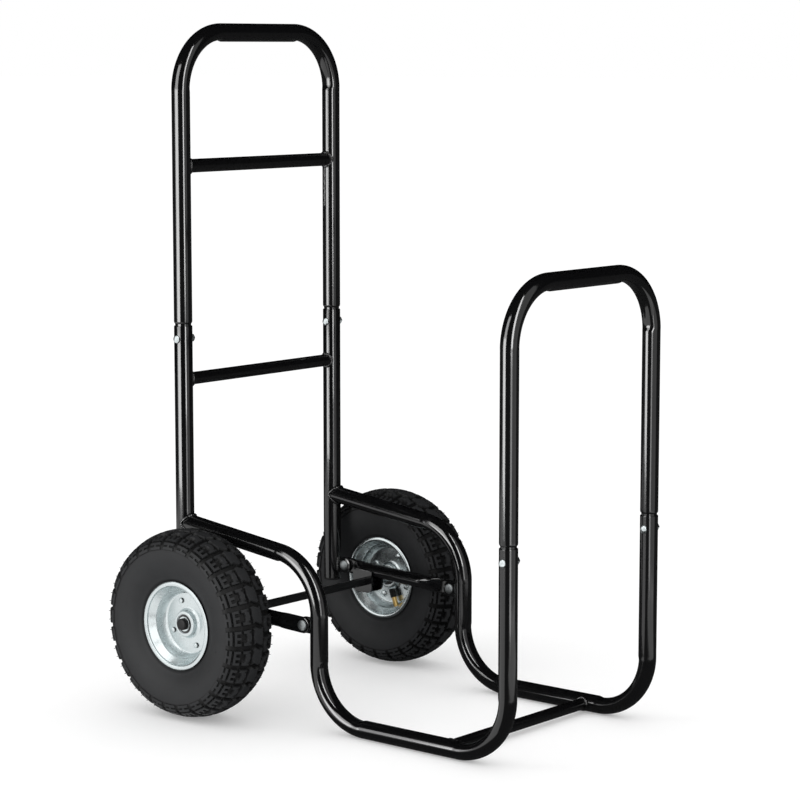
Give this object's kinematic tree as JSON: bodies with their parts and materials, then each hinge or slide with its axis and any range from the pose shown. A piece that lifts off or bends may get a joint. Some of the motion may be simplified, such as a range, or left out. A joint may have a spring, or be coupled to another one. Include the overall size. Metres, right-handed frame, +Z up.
{
  "type": "fireside log cart",
  "caption": "Upright two-wheeled cart for firewood: black bent-tube frame with a tall handle hoop, a stepped floor cradle, a lower front hoop, and air tyres on riveted steel rims.",
  "frame": {"origin": "on the floor, at the middle of the cart's length and width", "axes": "+X from the handle toward the front hoop, +Y to the left, +Z up"},
  "size_m": [0.6462, 0.5128, 0.945],
  "materials": {
    "black_powder_coat": "gloss black powder coat on steel tube",
    "zinc_plate": "bright zinc plate on pressed and turned steel",
    "axle_steel": "drawn steel bar, blackened",
    "bearing_steel": "ground bearing steel",
    "tyre_rubber": "matt black moulded rubber",
    "tube_rubber": "matt black butyl rubber",
    "seal_rubber": "matt black seal rubber",
    "black_plastic": "satin black moulded plastic",
    "brass": "plain brass"
  },
  "bodies": {
    "frame": {"handle_hoop": "black_powder_coat", "handle_crossbar": "black_powder_coat", "rear_upright_left": "black_powder_coat", "rear_upright_right": "black_powder_coat", "rear_crossbar": "black_powder_coat", "side_tube_left": "black_powder_coat", "side_tube_right": "black_powder_coat", "front_hoop": "black_powder_coat", "floor_crossbar": "black_powder_coat", "brace_left": "black_powder_coat", "brace_right": "black_powder_coat", "drop_lugs": "black_powder_coat", "upright_lugs": "black_powder_coat", "axle_bracket_left": "black_powder_coat", "axle_bracket_right": "black_powder_coat", "axle": "axle_steel", "handle_bolts": "zinc_plate", "handle_nuts": "zinc_plate", "front_bolts": "zinc_plate", "front_nuts": "zinc_plate", "brace_bolts": "zinc_plate", "brace_nuts": "zinc_plate", "upright_plugs": "black_plastic", "axle_spacer_left": "zinc_plate", "axle_spacer_right": "zinc_plate", "axle_washers": "zinc_plate", "axle_cap_left": "black_plastic", "axle_cap_right": "black_plastic", "bearing_inner_races_left": "bearing_steel", "bearing_inner_races_right": "bearing_steel"},
    "wheel_left": {"tyre_left": "tyre_rubber", "inner_tube_left": "tube_rubber", "rim_outer_left": "zinc_plate", "rim_inner_left": "zinc_plate", "rim_rivets_left": "zinc_plate", "bearing_outer_races_left": "bearing_steel", "bearing_balls_left": "bearing_steel", "bearing_seals_left": "seal_rubber", "valve_left": "brass", "valve_cap_left": "black_plastic"},
    "wheel_right": {"tyre_right": "tyre_rubber", "inner_tube_right": "tube_rubber", "rim_outer_right": "zinc_plate", "rim_inner_right": "zinc_plate", "rim_rivets_right": "zinc_plate", "bearing_outer_races_right": "bearing_steel", "bearing_balls_right": "bearing_steel", "bearing_seals_right": "seal_rubber", "valve_right": "brass", "valve_cap_right": "black_plastic"}
  },
  "joints": [
    {"name": "wheel_left_spin", "type": "hinge", "parent": "frame", "child": "wheel_left", "pos_m": [-0.19312, 0.215, 0.13], "axis": [0, 1, 0], "continuous": true},
    {"name": "wheel_right_spin", "type": "hinge", "parent": "frame", "child": "wheel_right", "pos_m": [-0.19312, -0.215, 0.13], "axis": [0, 1, 0], "continuous": true}
  ]
}
